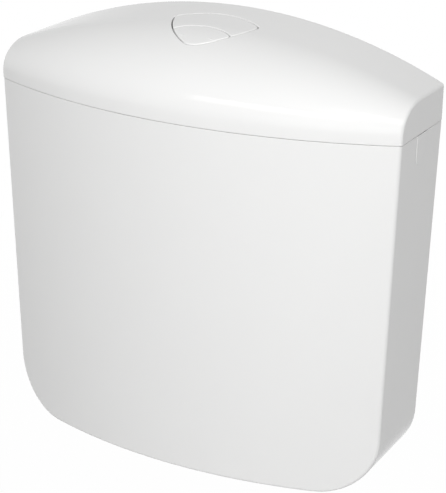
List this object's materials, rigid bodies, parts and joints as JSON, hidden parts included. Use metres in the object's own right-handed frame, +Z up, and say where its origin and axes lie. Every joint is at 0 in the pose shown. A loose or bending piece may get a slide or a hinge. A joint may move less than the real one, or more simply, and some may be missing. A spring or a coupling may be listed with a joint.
{
  "type": "toilet cistern",
  "caption": "Wall-hung low-level toilet cistern with a bowed front, an arched lift-off lid and a dual-flush button, with its fill valve and flush valve inside.",
  "frame": {"origin": "on the wall plane, midway between the two hanging screws", "axes": "+X to the viewer's right, +Y into the wall, so the front faces -Y, +Z up"},
  "size_m": [0.4682, 0.1475, 0.4725],
  "materials": {
    "white_gloss": "gloss",
    "liner_foam": "matte",
    "pale_grey_plastic": "satin",
    "mid_grey_plastic": "satin",
    "dark_plastic": "satin",
    "white_matte": "satin",
    "green_plastic": "satin",
    "blue_plastic": "satin",
    "black_rubber": "matte",
    "steel": "satin"
  },
  "bodies": {
    "cistern": {"tank": "white_gloss", "insulation_liner": "liner_foam", "hanging_grommets": "pale_grey_plastic", "side_inlet_blank": "white_gloss", "inlet_carrier": "white_gloss", "inlet_washer": "black_rubber", "inlet_locknut": "pale_grey_plastic", "fill_valve_body": "pale_grey_plastic", "inlet_strainer": "white_matte", "fill_diaphragm": "black_rubber", "fill_valve_cap": "mid_grey_plastic", "discharge_tube": "pale_grey_plastic", "float_lever_pin": "steel", "valve_seat": "pale_grey_plastic", "seat_gasket": "black_rubber", "outlet_locknut": "mid_grey_plastic", "cone_seal": "black_rubber", "coupling_nut": "mid_grey_plastic", "valve_basket": "pale_grey_plastic", "valve_tower": "pale_grey_plastic", "lever_bracket": "mid_grey_plastic", "bracket_screws": "steel", "full_lever_pin": "steel", "half_lever_pin": "steel"},
    "pilot": {"pilot_plunger": "white_matte"},
    "float_arm": {"float_lever": "dark_plastic", "float_screw": "white_matte", "fill_float": "white_matte"},
    "full_lever": {"full_lever": "green_plastic"},
    "half_lever": {"half_lever": "blue_plastic"},
    "flush_valve": {"overflow_tube": "white_matte", "valve_seal": "black_rubber", "full_float": "green_plastic", "full_lift_rod": "white_matte"},
    "half_flush": {"half_float": "blue_plastic", "half_lift_rod": "white_matte"},
    "lid": {"lid": "white_gloss", "button_frame": "pale_grey_plastic", "frame_screws": "steel", "full_button_springs": "steel", "half_button_springs": "steel"},
    "full_button": {"full_button": "white_gloss", "full_push_pin": "steel", "full_stop_clip": "dark_plastic"},
    "half_button": {"half_button": "white_gloss", "half_push_pin": "steel", "half_stop_clip": "dark_plastic"}
  },
  "joints": [
    {"name": "lid_lift", "type": "slide", "parent": "cistern", "child": "lid", "axis": [0, 0, 1], "range_m": [0, 0.12]},
    {"name": "full_press", "type": "slide", "parent": "lid", "child": "full_button", "axis": [0, 0, -1], "range_m": [0, 0.007], "stiffness_N_per_m": 400, "springref_m": -0.01, "deforming": ["full_button_springs"]},
    {"name": "half_press", "type": "slide", "parent": "lid", "child": "half_button", "axis": [0, 0, -1], "range_m": [0, 0.007], "stiffness_N_per_m": 400, "springref_m": -0.01, "deforming": ["half_button_springs"]},
    {"name": "full_lever_tilt", "type": "hinge", "parent": "cistern", "child": "full_lever", "pos_m": [0.015, -0.054, 0.029], "axis": [-1, 0, 0], "range_deg": [0, 33.93]},
    {"name": "valve_lift", "type": "slide", "parent": "cistern", "child": "flush_valve", "axis": [0, 0, 1], "range_m": [0, 0.0105]},
    {"name": "half_lever_tilt", "type": "hinge", "parent": "cistern", "child": "half_lever", "pos_m": [-0.015, -0.07, 0.029], "axis": [1, 0, 0], "range_deg": [0, 33.93]},
    {"name": "half_float_lift", "type": "slide", "parent": "cistern", "child": "half_flush", "axis": [0, 0, 1], "range_m": [0, 0.0105]},
    {"name": "float_rise", "type": "hinge", "parent": "cistern", "child": "float_arm", "pos_m": [-0.12794, -0.049, 0.02721], "axis": [0, -1, 0], "range_deg": [0, 10]},
    {"name": "pilot_close", "type": "slide", "parent": "cistern", "child": "pilot", "axis": [-1, 0, 0], "range_m": [0, 0.00209]}
  ],
  "couplings": [
    {"joint": "full_lever_tilt", "follows": "full_press", "rad_per_m": 84.562},
    {"joint": "valve_lift", "follows": "full_press", "ratio": 1.5},
    {"joint": "half_lever_tilt", "follows": "half_press", "rad_per_m": 84.562},
    {"joint": "half_float_lift", "follows": "half_press", "ratio": 1.5},
    {"joint": "pilot_close", "follows": "float_rise", "m_per_rad": 0.011939}
  ]
}
